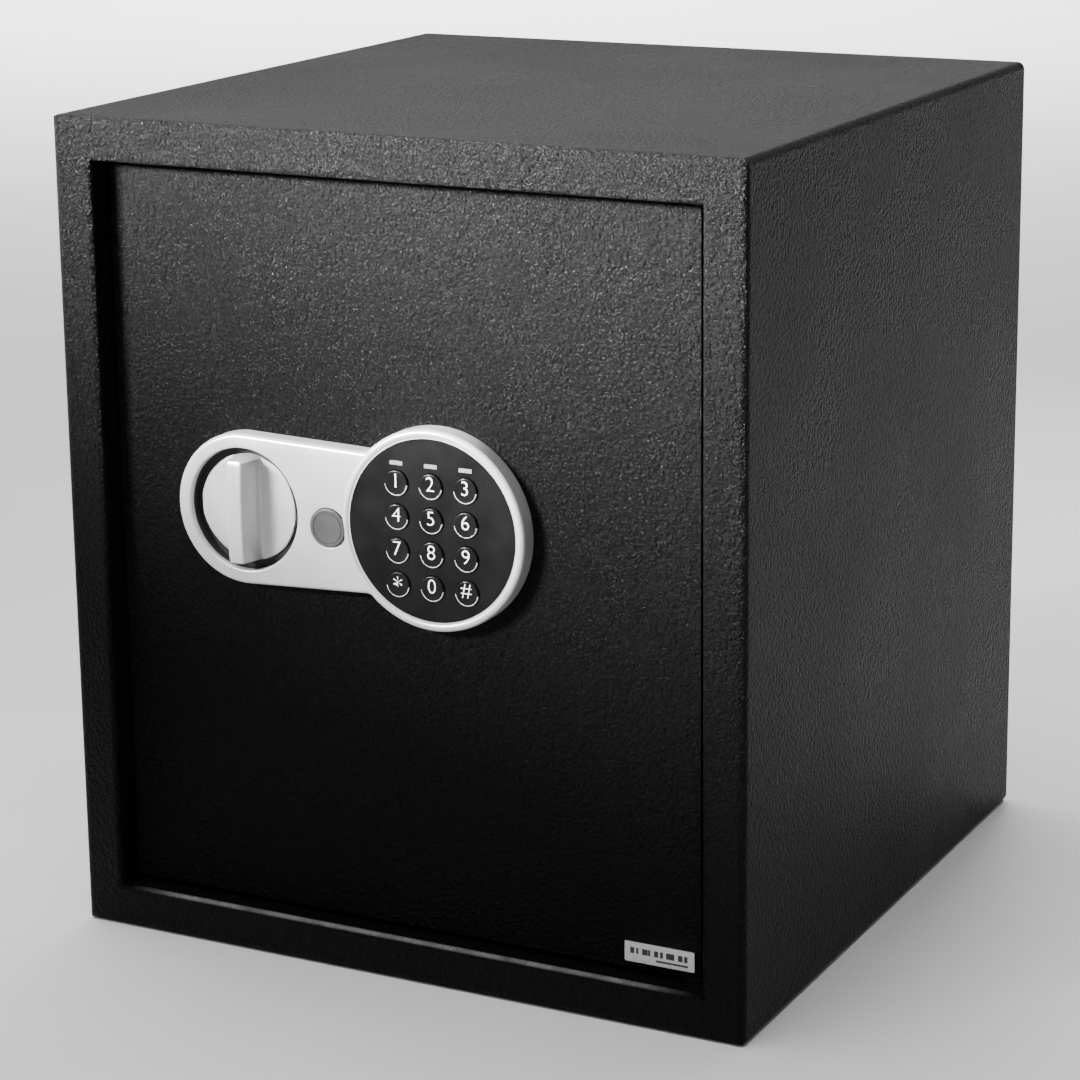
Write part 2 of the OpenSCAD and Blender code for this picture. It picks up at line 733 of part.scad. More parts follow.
module lock_cam() color(zinc_c) slab(barrel_back + 0.3, barrel_back + 2) difference() {
    union() {
        translate([lock_x, lock_z]) circle(8.5);
        translate([lock_x - 4, lock_z - 16]) square([8, 16]);
        translate([lock_x, lock_z - 16]) circle(4);
    }
    translate([lock_x, lock_z]) circle(plug_r);
}

module keyhole_cap() color([0.55, 0.55, 0.56]) {
    bar_y(lock_x, lock_z, cap_r, panel_front - 0.2, panel_front + panel_skin);
    difference() {
        bar_y(lock_x, lock_z, cap_r - 1.5, panel_front + panel_skin, barrel_front - 0.3);
        bar_y(lock_x, lock_z, cap_r - 3, panel_front + panel_skin, barrel_front);
    }
}

// ---- keys ----

module key(i) color(dark_c) {
    p = key_place(i);
    bar_y(p[0], p[1], key_r, key_front, key_flange);
    bar_y(p[0], p[1], key_r + 1, key_flange, key_flange + key_flange_t);
}

front_frame();
body_wrap();
back_panel();
shelf_supports();
shelf();
floor_mat();
hinge_bushes();
door_plate();
door_channel();
inner_cover();
cover_screws();
hinge_brackets();
hinge_pins();
badge_plate();
panel_housing();
panel_screws();
keypad_faceplate();
keypad_membrane();
keypad_board();
indicator_lenses();
keypad_cable();
control_board();
battery_box();
battery_contacts();
batteries();
carrier_guide_posts();
solenoid_frame();
solenoid_coil();
plunger_spring();
lock_barrel();
lock_nut();
knob_bush();
knob();
knob_shaft();
drive_cam();
cam_screw();
bolt_carrier();
bolt_upper();
bolt_lower();
bolt_nuts();
solenoid_plunger();
lock_plug();
lock_cam();
keyhole_cap();
battery_cover();
reset_button();
key(0);  // key_1
key(1);  // key_2
key(2);  // key_3
key(3);  // key_4
key(4);  // key_5
key(5);  // key_6
key(6);  // key_7
key(7);  // key_8
key(8);  // key_9
key(9);  // key_star
key(10);  // key_0
key(11);  // key_hash
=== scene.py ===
"""A free-standing electronic safe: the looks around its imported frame.

Lengths are in metres in the frame's own axes: +Z up, the door faces -Y, +X to the right.
"""

import json
import math

import bmesh
import bpy
from mathutils import Matrix, Vector


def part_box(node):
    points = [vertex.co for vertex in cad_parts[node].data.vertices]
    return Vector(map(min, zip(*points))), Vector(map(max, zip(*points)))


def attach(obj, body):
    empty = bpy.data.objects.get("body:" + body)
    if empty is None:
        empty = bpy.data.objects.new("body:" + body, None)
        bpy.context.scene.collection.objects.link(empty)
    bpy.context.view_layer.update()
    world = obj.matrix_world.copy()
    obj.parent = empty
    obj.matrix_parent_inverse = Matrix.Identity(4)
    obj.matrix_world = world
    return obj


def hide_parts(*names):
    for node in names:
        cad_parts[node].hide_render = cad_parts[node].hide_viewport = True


MM = 0.001
DOOR_GAP = 2.5 * MM  # bare gap between the door plate and the frame's opening
WRINKLE_SHIFT = 0.0016  # how far the coat's pebbles are pushed about
COAT_BLACK = (0.0042, 0.0042, 0.0044)
COAT_SPECULAR = 0.055
# lighter grey mixed into the frame's coat along the sill: a painted highlight
SILL_HIGHLIGHT_GREY = (0.24, 0.24, 0.245, 1)

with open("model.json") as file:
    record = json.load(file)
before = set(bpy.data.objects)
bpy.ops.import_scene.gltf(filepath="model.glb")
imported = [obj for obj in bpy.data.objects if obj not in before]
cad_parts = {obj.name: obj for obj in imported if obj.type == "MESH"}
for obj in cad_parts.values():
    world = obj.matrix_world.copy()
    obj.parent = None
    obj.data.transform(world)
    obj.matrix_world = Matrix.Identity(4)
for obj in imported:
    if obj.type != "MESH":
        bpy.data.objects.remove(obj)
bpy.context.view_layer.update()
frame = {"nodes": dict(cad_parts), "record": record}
nodes = frame["nodes"]


# ---- node materials ----

class Shader:
    """A material's node tree, with short calls for the nodes that the materials use."""

    def __init__(self, name, color, roughness, metallic=0.0, specular=0.5):
        self.material = bpy.data.materials.new(name)
        self.material.use_nodes = True
        self.tree = self.material.node_tree
        self.bsdf = self.tree.nodes["Principled BSDF"]
        self.bsdf.inputs["Base Color"].default_value = (*color, 1)
        self.bsdf.inputs["Roughness"].default_value = roughness
        self.bsdf.inputs["Metallic"].default_value = metallic
        self.bsdf.inputs["Specular IOR Level"].default_value = specular
        self.coords = self.tree.nodes.new("ShaderNodeTexCoord").outputs["Object"]

    def node(self, kind, links=None, **values):
        """Adds a node; values that name an input set it, and the others are properties."""
        made = self.tree.nodes.new(kind)
        for key, value in values.items():
            if key in made.inputs:
                made.inputs[key].default_value = value
            else:
                setattr(made, key, value)
        for key, source in (links or {}).items():
            self.tree.links.new(source, made.inputs[key])
        return made

    def scaled(self, x, y, z):
        """The object's coordinates, stretched along the axes."""
        return self.node("ShaderNodeMapping", {"Vector": self.coords}, Scale=(x, y, z)).outputs[0]

    def noise(self, scale, detail=2.0, rough=0.5, warp=0.0, vector=None):
        """Noise from 0 to 1."""
        made = self.node("ShaderNodeTexNoise", {"Vector": vector or self.coords}, Scale=scale,
                         Detail=detail, Roughness=rough, Distortion=warp)
        return made.outputs["Fac"]

    def cells(self, scale, feature="F1", vector=None):
        """Distances in a Voronoi pattern."""
        made = self.node("ShaderNodeTexVoronoi", {"Vector": vector or self.coords},
                         feature=feature, Scale=scale)
        return made.outputs["Distance"]

    def math(self, operation, a, b):
        """a and b are numbers or outputs."""
        made = self.node("ShaderNodeMath", operation=operation)
        for i, value in enumerate((a, b)):
            if isinstance(value, (int, float)):
                made.inputs[i].default_value = value
            else:
                self.tree.links.new(value, made.inputs[i])
        return made.outputs[0]

    def remap(self, value, low, high, to_low, to_high):
        """Spreads low..high over to_low..to_high, held at the ends."""
        made = self.node("ShaderNodeMapRange", {"Value": value})
        for key, number in (("From Min", low), ("From Max", high),
                            ("To Min", to_low), ("To Max", to_high)):
            made.inputs[key].default_value = number
        return made.outputs[0]

    def ramp(self, value, *stops):
        """A colour ramp of (place, colour) stops."""
        made = self.node("ShaderNodeValToRGB", {"Fac": value})
        elements = made.color_ramp.elements
        while len(elements) < len(stops):
            elements.new(0.5)
        for element, (place, color) in zip(elements, stops):
            element.position = place
            element.color = (*color, 1)
        return made.outputs["Color"]

    def color(self, source):
        """Feeds the base colour."""
        self.tree.links.new(source, self.bsdf.inputs["Base Color"])

    def roughness(self, source, low, high, rough_low, rough_high):
        """Feeds the roughness, with low..high of the source spread over the two values."""
        self.tree.links.new(self.remap(source, low, high, rough_low, rough_high),
                            self.bsdf.inputs["Roughness"])

    def bump(self, height, distance, strength=1.0):
        """Feeds the shader's normal."""
        made = self.node("ShaderNodeBump", {"Height": height}, Distance=distance,
                         Strength=strength)
        self.tree.links.new(made.outputs["Normal"], self.bsdf.inputs["Normal"])


def powder_coat(name, color, specular, depth=0.0018, highlight_mask=None):
    """Textured powder coat: a leathery wrinkle about 2 mm across, and a fine grain.

    The last argument is a function that returns where a lighter grey is mixed into the coat as a
    painted highlight, from 0 to 1.
    """
    s = Shader(name, color, 0.32, specular=specular)
    sway = s.node("ShaderNodeTexNoise", {"Vector": s.coords}, Scale=420.0, Detail=1.0)
    shift = s.node("ShaderNodeVectorMath", {0: sway.outputs["Color"]}, operation="SCALE")
    shift.inputs["Scale"].default_value = WRINKLE_SHIFT
    bent = s.node("ShaderNodeVectorMath", {0: s.coords, 1: shift.outputs[0]}).outputs[0]
    pebbles = s.cells(500, "SMOOTH_F1", vector=bent)
    wrinkle = s.noise(900, detail=1.5, rough=0.5, warp=0.4)
    folds = s.math("ABSOLUTE", s.math("SUBTRACT", wrinkle, 0.5), 0.0)
    height = s.math("SUBTRACT", s.math("MULTIPLY", folds, 1.3), s.math("MULTIPLY", pebbles, 0.9))
    coat = s.ramp(wrinkle, (0.3, tuple(c * 0.6 for c in color)),
                  (0.7, tuple(c * 1.3 for c in color)))
    # painted highlight: a lighter grey mixed in where the mask says
    if highlight_mask:
        mix = s.node("ShaderNodeMixRGB", {"Fac": highlight_mask(s), "Color1": coat},
                     Color2=SILL_HIGHLIGHT_GREY)
        coat = mix.outputs["Color"]
    s.color(coat)
    s.roughness(s.noise(9, detail=4), 0.3, 0.7, 0.25, 0.31)
    s.bump(height, depth)
    return s.material


def sill_wear(s):
    """Where a thin lighter grey line is painted along the lower bend of the door opening: a
    painted highlight on the sill's edge.
    """
    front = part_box("front_frame")[0][1]
    door_low, door_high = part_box("door_plate")
    side = door_high[0]
    sill = door_low[2] - DOOR_GAP
    axes = s.node("ShaderNodeSeparateXYZ", {"Vector": s.coords})
    across = s.remap(s.math("ABSOLUTE", axes.outputs["X"], 0.0), side - 35 * MM, side, 1, 0)
    depth = s.remap(axes.outputs["Y"], front + 2.4 * MM, front + 3.6 * MM, 1, 0)
    above = s.remap(axes.outputs["Z"], sill - 1.7 * MM, sill - 0.7 * MM, 0, 1)
    below = s.remap(axes.outputs["Z"], sill + 0.4 * MM, sill + 0.8 * MM, 1, 0)
    patchy = s.remap(s.noise(60, detail=4), 0.35, 0.6, 0.5, 1)
    band = s.math("MULTIPLY", s.math("MULTIPLY", depth, above), s.math("MULTIPLY", below, across))
    return s.math("MULTIPLY", band, patchy)


def silver_paint():
    """Silver-painted plastic: fine flakes under a satin skin."""
    s = Shader("silver_paint", (0.5, 0.5, 0.51), 0.32, metallic=0.4)
    flakes = s.cells(5200)
    cloud = s.noise(35, detail=3)
    shade = s.math("ADD", s.math("MULTIPLY", flakes, 0.25), s.math("MULTIPLY", cloud, 0.5))
    s.color(s.ramp(shade, (0.2, (0.46, 0.46, 0.47)), (0.6, (0.60, 0.60, 0.61))))
    s.roughness(cloud, 0.3, 0.7, 0.28, 0.40)
    s.bump(s.noise(1800, detail=2), 0.00003, 0.35)
    return s.material


def moulded(name, color, roughness=0.5, grain=1400, depth=0.00005, specular=0.4):
    """Moulded plastic with a spark-eroded grain and slight flow marks."""
    s = Shader(name, color, roughness, specular=specular)
    flow = s.noise(60, detail=3)
    darker = tuple(c * 0.82 for c in color)
    lighter = tuple(min(1, c * 1.15) for c in color)
    s.color(s.ramp(flow, (0.35, darker), (0.65, lighter)))
    s.roughness(flow, 0.3, 0.7, roughness - 0.06, roughness + 0.06)
    s.bump(s.noise(grain, detail=2), depth, 0.6)
    return s.material


def metal(name, color, roughness, stretch, streak=0.1):
    """Metal with tool marks; stretch sets the direction in which the marks are long."""
    s = Shader(name, color, roughness, metallic=1.0)
    marks = s.noise(1, detail=4, rough=0.6, vector=s.scaled(*stretch))
    stain = s.noise(45, detail=4)
    mixed = s.math("ADD", s.math("MULTIPLY", marks, 0.5), s.math("MULTIPLY", stain, 0.5))
    s.color(s.ramp(mixed, (0.3, tuple(c * (1 - 2 * streak) for c in color)), (0.7, color)))
    s.roughness(mixed, 0.3, 0.7, roughness - 0.08, roughness + 0.1)
    s.bump(marks, 0.00003, 0.4)
    return s.material


def felt():
    """Needle-punched grey felt: short fibres over a soft, uneven ground."""
    s = Shader("felt", (0.03, 0.03, 0.033), 0.95, specular=0.1)
    fibres = s.noise(900, detail=6, rough=0.75, warp=2.5)
    tufts = s.cells(320, "SMOOTH_F1")
    s.bsdf.inputs["Sheen Weight"].default_value = 0.3
    s.bsdf.inputs["Sheen Roughness"].default_value = 0.6
    s.color(s.ramp(fibres, (0.35, (0.014, 0.014, 0.016)), (0.65, (0.075, 0.075, 0.08))))
    s.bump(s.math("ADD", fibres, s.math("MULTIPLY", tufts, 0.6)), 0.0009, 0.9)
    return s.material


def circuit_board():
    """Green solder mask over fine copper tracks."""
    s = Shader("circuit_board", (0.01, 0.06, 0.025), 0.3)
    tracks = s.cells(330, "DISTANCE_TO_EDGE", vector=s.scaled(1, 0.2, 1))
    s.color(s.ramp(tracks, (0.06, (0.02, 0.11, 0.045)), (0.10, (0.006, 0.045, 0.018))))
    s.bump(tracks, 0.00005, 0.3)
    return s.material


def ribbon():
    """Grey ribbon cable with ridged conductors, darker in the grooves between them: painted
    shade.
    """
    s = Shader("ribbon", (0.42, 0.42, 0.44), 0.45)
    wave = s.node("ShaderNodeTexWave", {"Vector": s.coords}, bands_direction="X", Scale=250)
    # painted shade: the colour follows the bump, dark in the grooves between conductors
    s.color(s.ramp(wave.outputs["Fac"], (0.2, (0.26, 0.26, 0.28)), (0.7, (0.48, 0.48, 0.5))))
    s.bump(wave.outputs["Fac"], 0.0002, 0.8)
    return s.material


def coil_winding():
    """Enamelled copper wire, wound in tight turns along Z, darker in the grooves between turns:
    painted shade.
    """
    s = Shader("coil_winding", (0.42, 0.11, 0.03), 0.3, metallic=0.8)
    wave = s.node("ShaderNodeTexWave", {"Vector": s.coords}, bands_direction="Z", Scale=420)
    # painted shade: the colour follows the bump, dark in the grooves between turns
    s.color(s.ramp(wave.outputs["Fac"], (0.1, (0.16, 0.035, 0.01)), (0.6, (0.52, 0.16, 0.05))))
    s.bump(wave.outputs["Fac"], 0.0003, 0.9)
    return s.material


def cell_sleeve():
    """A battery's printed sleeve: dark, with a plain silver band towards one end."""
    s = Shader("cell_sleeve", (0.02, 0.02, 0.025), 0.25, metallic=0.3)
    x = s.node("ShaderNodeSeparateXYZ", {"Vector": s.coords}).outputs["X"]
    low, high = (corner[0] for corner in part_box("batteries"))
    along = s.remap(x, low, high, 0.0, 1.0)
    dark = (0.018, 0.018, 0.022)
    silver = (0.55, 0.55, 0.56)
    s.color(s.ramp(along, (0.0, silver), (0.03, dark), (0.70, dark), (0.72, silver),
                   (0.86, silver), (0.88, dark)))
    s.bump(s.noise(500, detail=3), 0.00003, 0.4)
    return s.material


def white_ink():
    """Matt white, slightly speckled: print for the keys' figures, and a painted reflection for
    the arcs on the keys' rims.
    """
    s = Shader("white_ink", (0.85, 0.85, 0.84), 0.45)
    speckle = s.noise(3000, detail=2)
    s.color(s.ramp(speckle, (0.3, (0.72, 0.72, 0.71)), (0.6, (0.88, 0.88, 0.87))))
    s.bump(speckle, 0.00002, 0.3)
    return s.material


def lens_plastic():
    """Milky indicator windows."""
    s = Shader("lens_plastic", (0.22, 0.22, 0.21), 0.22)
    s.bsdf.inputs["Subsurface Weight"].default_value = 0.3
    s.bsdf.inputs["Subsurface Radius"].default_value = (0.001, 0.001, 0.001)
    s.color(s.ramp(s.noise(700, detail=2), (0.3, (0.17, 0.17, 0.16)), (0.7, (0.26, 0.26, 0.245))))
    return s.material


def floor_paper():
    """Pale studio paper with a faint cloud."""
    s = Shader("floor_paper", (0.86, 0.86, 0.86), 0.75, specular=0.2)
    s.color(s.ramp(s.noise(6, detail=3), (0.3, (0.84, 0.84, 0.84)), (0.7, (0.88, 0.88, 0.88))))
    return s.material


TURNED = (60, 2200, 60)  # marks run round bars that lie along Y
ROLLED = (120, 120, 1500)  # marks run along X and Y on sheet
MATERIALS = {
    "powder_coat": powder_coat("powder_coat", COAT_BLACK, COAT_SPECULAR),
    "silver_paint": silver_paint(),
    "knob_paint": silver_paint(),
    "badge": metal("badge_foil", (0.62, 0.62, 0.62), 0.3, (1800, 200, 60)),
    "cap_plastic": moulded("cap_plastic", (0.042, 0.042, 0.043), 0.45),
    "face_plastic": moulded("face_plastic", (0.004, 0.004, 0.0042), 0.36, 1100, 0.00006, 0.1),
    "key_rubber": moulded("key_rubber", (0.0045, 0.0045, 0.0047), 0.28, 2000, 0.00002, 0.14),
    # dark grey for the knob well's lining: painted shade
    "painted_well_shade": moulded("painted_well_shade", (0.022, 0.022, 0.023), 0.5, 900, 0.00005, 0.2),
    "membrane_rubber": moulded("membrane_rubber", (0.04, 0.04, 0.042), 0.7),
    "lens": lens_plastic(),
    "board": circuit_board(),
    "cable": ribbon(),
    "inner_plastic": moulded("inner_plastic", (0.012, 0.012, 0.0125), 0.5, 900, 0.0001, 0.25),
    "zinc": metal("zinc", (0.62, 0.60, 0.52), 0.36, ROLLED, 0.16),
    "steel": metal("steel", (0.60, 0.60, 0.61), 0.26, TURNED, 0.08),
    "brass": metal("brass", (0.66, 0.47, 0.19), 0.26, TURNED, 0.1),
    "coil_tape": coil_winding(),
    "cell_sleeve": cell_sleeve(),
    "red_plastic": moulded("red_plastic", (0.5, 0.02, 0.018), 0.35, 1800, 0.00003),
    "felt": felt(),
}
INSIDE_COAT = powder_coat("inside_coat", (0.016, 0.016, 0.0165), 0.2, depth=0.001)
# the frame's coat carries a painted highlight along the lower bend of the door opening
FRAME_COAT = powder_coat("frame_coat", COAT_BLACK, COAT_SPECULAR, highlight_mask=sill_wear)
# white for the printed figures, and for the painted reflection arcs on the keys' rims
WHITE_PRINT_AND_REFLECTION = white_ink()
DARK_INK = moulded("dark_ink", (0.03, 0.03, 0.03), 0.5)


# ---- mesh helpers ----

SHARP_ANGLE = math.radians(35)


def shade(mesh):
    """Smooth faces, with edges past the sharp angle kept sharp."""
    bm = bmesh.new()
    bm.from_mesh(mesh)
    for face in bm.faces:
        face.smooth = True
    for edge in bm.edges:
        if len(edge.link_faces) == 2:
            edge.smooth = edge.calc_face_angle(0) < SHARP_ANGLE
    bm.to_mesh(mesh)
    bm.free()


def finish_piece(piece, name, slot, body, replaced=(), material=None):
    """Names a loose object, shades it and makes it ride on a body."""
    piece.name = piece.data.name = name
    shade(piece.data)
    piece.data.materials.clear()
    piece.data.materials.append(material or MATERIALS[slot])
    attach(piece, body)
    if replaced:
        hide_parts(*replaced)
    return piece


def add_piece(name, bm, slot, body, replaced=(), material=None):
    """Turns a bmesh into a piece that rides on a body."""
    return finish_piece(solid(bm), name, slot, body, replaced, material)


def skin(bm, loops, closed_rows=True, closed_columns=False):
    """Quads between neighbouring loops of points, each a list of the same length."""
    rows = [[bm.verts.new(point) for point in loop] for loop in loops]
    pairs = list(zip(rows, rows[1:])) + ([(rows[-1], rows[0])] if closed_columns else [])
    for a, b in pairs:
        count = len(a)
        for i in range(count if closed_rows else count - 1):
            j = (i + 1) % count
            bm.faces.new((a[i], a[j], b[j], b[i]))
    return rows


def turned(profile, center, steps=96, start=0.0, sweep=360.0):
    """A body of revolution about Y through center (x, z); profile is (radius, y) points."""
    bm = bmesh.new()
    whole = abs(sweep - 360) < 1e-6
    count = steps if whole else steps + 1
    loops = []
    for radius, y in profile:
        loop = []
        for i in range(count):
            angle = math.radians(start + sweep * i / steps)
            loop.append((center[0] + radius * math.cos(angle), y,
                         center[1] + radius * math.sin(angle)))
        loops.append(loop)
    rows = skin(bm, loops, closed_rows=whole)
    if whole:
        for row, (radius, _) in ((rows[0], profile[0]), (rows[-1], profile[-1])):
            if radius > 0:
                bm.faces.new(row)
    return bm


def ring_of(profile, center, steps):
    """A closed ring about Y whose section is the profile's loop."""
    bm = bmesh.new()
    skin(bm, [[(center[0] + radius * math.cos(2 * math.pi * i / steps), y,
                center[1] + radius * math.sin(2 * math.pi * i / steps)) for i in range(steps)]
              for radius, y in profile], closed_columns=True)
    return bm


def arc(cx, cy, radius, start, end, steps):
    """Points on an arc, in degrees, both ends included."""
    return [(cx + radius * math.cos(math.radians(start + (end - start) * i / steps)),
             cy + radius * math.sin(math.radians(start + (end - start) * i / steps)))
            for i in range(steps + 1)]


def solid(bm):
    """A loose object made from a bmesh, for use in a boolean."""
    bmesh.ops.remove_doubles(bm, verts=bm.verts, dist=1e-7)
    bmesh.ops.recalc_face_normals(bm, faces=bm.faces)
    mesh = bpy.data.meshes.new("solid")
    bm.to_mesh(mesh)
    bm.free()
    made = bpy.data.objects.new("solid", mesh)
    bpy.context.scene.collection.objects.link(made)
    return made


def combine(piece, tools, operation="DIFFERENCE"):
    """Applies exact booleans to a piece; the tools are used up."""
    for tool in tools:
        modifier = piece.modifiers.new("cut", "BOOLEAN")
        modifier.operation = operation
        modifier.solver = "EXACT"
        modifier.object = tool
        graph = bpy.context.evaluated_depsgraph_get()
        result = bpy.data.meshes.new_from_object(piece.evaluated_get(graph))
        piece.modifiers.clear()
        piece.data = result
        bpy.data.objects.remove(tool)
    return piece


def box_middle(node):
    low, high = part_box(node)
    return [(a + b) / 2 for a, b in zip(low, high)]


def loose_groups(node):
    """The world corners of each separate solid of a node, in the same order each run."""
    bm = bmesh.new()
    bm.from_mesh(nodes[node].data)
    bmesh.ops.remove_doubles(bm, verts=bm.verts, dist=1e-6)
    left = set(bm.verts)
    groups = []
    while left:
        group, edge = set(), [left.pop()]
        while edge:
            vert = edge.pop()
            group.add(vert)
            for near in (link.other_vert(vert) for link in vert.link_edges):
                if near in left:
                    left.discard(near)
                    edge.append(near)
        groups.append([nodes[node].matrix_world @ vert.co for vert in group])
    bm.free()
    return sorted(groups, key=round_middle)


def round_middle(points):
    """Middle in X and Z of the points' bounds."""
    return tuple((min(p[i] for p in points) + max(p[i] for p in points)) / 2 for i in (0, 2))


def box_radius(node):
    low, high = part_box(node)
    return (high[0] - low[0]) / 2


# ---- the CAD nodes that stay ----

def dress_cad_nodes():
    """Each CAD node takes its slot's material; the sheet parts get softened edges."""
    slot_of = {part["node"]: part["material_slot"] for part in frame["record"]["subparts"]}
    edge_mm = {"front_frame": 0.6, "body_wrap": 0.4, "door_plate": 0.8, "door_channel": 0.5,
               "inner_cover": 0.5, "shelf": 0.4, "shelf_supports": 0.4, "back_panel": 0.3,
               "hinge_brackets": 0.8, "badge_plate": 0.15, "battery_cover": 0.3,
               "floor_mat": 0.8, "keypad_faceplate": 0.3, "bolt_carrier": 0.3,
               "drive_cam": 0.4, "control_board": 0.2, "lock_nut": 0.4, "bolt_nuts": 0.4,
               "battery_box": 0.3, "solenoid_frame": 0.3}
    inside = {"door_channel", "inner_cover", "shelf", "shelf_supports", "back_panel",
              "hinge_brackets"}
    for name, part in nodes.items():
        part.data.materials.clear()
        coat = FRAME_COAT if name == "front_frame" else MATERIALS[slot_of[name]]
        part.data.materials.append(INSIDE_COAT if name in inside else coat)
        if name in edge_mm:
            merge = part.modifiers.new("flatten", "DECIMATE")
            merge.decimate_type = "DISSOLVE"
            merge.angle_limit = math.radians(0.5)
            bevel = part.modifiers.new("edge", "BEVEL")
            bevel.width = edge_mm[name] * MM
            bevel.segments = 3
            bevel.limit_method = "ANGLE"
            bevel.angle_limit = math.radians(40)
            bevel.harden_normals = True


# ---- control panel ----

KNOB_MIDDLE = box_middle("knob")
PAD_MIDDLE = box_middle("keypad_faceplate")
CAP_MIDDLE = box_middle("keyhole_cap")
HOUSING_LOW, HOUSING_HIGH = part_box("panel_housing")
LOBE = (KNOB_MIDDLE[0], KNOB_MIDDLE[2])
PAD = (PAD_MIDDLE[0], PAD_MIDDLE[2])
LOBE_R = LOBE[0] - HOUSING_LOW[0]
PAD_R = (HOUSING_HIGH[2] - HOUSING_LOW[2]) / 2
FACE_R = box_radius("keypad_faceplate")
PANEL_FRONT = HOUSING_LOW[1]
PANEL_BACK = HOUSING_HIGH[1]
NECK_HALF = 34.7 * MM  # half of the neck's height at the keypad's middle
WELL_R = box_radius("knob") + 4 * MM
WELL_FLOOR = PANEL_BACK - 2 * MM
SHELL = 2 * MM  # wall of the housing
FILLET = 7 * MM  # where the neck meets the keypad's circle
FILLET_STEPS = 10


def side_of_outline(up, inset):
    """One long side of the panel's outline, from the lobe to the keypad's circle.

    Returns the side's points, and the angles at which the lobe's and the keypad's arcs meet
    it. The line is tangent to the lobe, and a concave fillet joins it to the keypad's circle.
    """
    rise = PAD[1] + up * NECK_HALF - (LOBE[1] + up * LOBE_R)
    slope = math.atan2(rise, PAD[0] - LOBE[0])
    along = Vector((math.cos(slope), math.sin(slope)))
    out = Vector((-along.y, along.x)) * up
    lobe = Vector(LOBE)
    pad = Vector(PAD)
    reach = PAD_R + FILLET
    base = lobe + out * (LOBE_R + FILLET)
    to_pad = base - pad
    b = to_pad.dot(along)
    travel = -b - math.sqrt(b * b - to_pad.length_squared + reach * reach)
    middle = base + along * travel
    meet = middle + (pad - middle).normalized() * (FILLET + inset)
    start = math.degrees(math.atan2(-out.y, -out.x))
    end = math.degrees(math.atan2(*(pad - middle).yx))
    turn = (end - start + 180) % 360 - 180
    points = arc(middle.x, middle.y, FILLET + inset, start, start + turn, FILLET_STEPS)
    first = lobe + out * (LOBE_R - inset)
    return [tuple(first)] + points, math.degrees(math.atan2(out.y, out.x)), math.degrees(
        math.atan2(*(meet - pad).yx))


def panel_outline(inset):
    """The panel's outline, drawn in by inset, anticlockwise from the lobe's top."""
    top, lobe_top, pad_top = side_of_outline(1, inset)
    bottom, lobe_bottom, pad_bottom = side_of_outline(-1, inset)
    lobe = arc(*LOBE, LOBE_R - inset, lobe_top, lobe_bottom + 360, 48)
    pad = arc(*PAD, PAD_R - inset, pad_bottom, pad_top, 96)
    return lobe[:-1] + bottom + pad[1:-1] + top[:0:-1]


def prism(sections):
    """A closed solid through (outline, y) sections."""
    bm = bmesh.new()
    rows = skin(bm, [[(x, y, z) for x, z in outline] for outline, y in sections])
    bm.faces.new(rows[0])
    bm.faces.new(rows[-1])
    return bm


def flared_hole(radius, flare, front, back):
    """Profile of a cutter whose mouth opens with a rounded lip."""
    ahead = 4 * MM  # the cutter starts clear of the skin
    lip = [(radius + flare - flare * math.sin(math.radians(a)),
            front + flare - flare * math.cos(math.radians(a))) for a in range(0, 91, 15)]
    return [(radius + flare, front - ahead)] + lip + [(radius, back)]


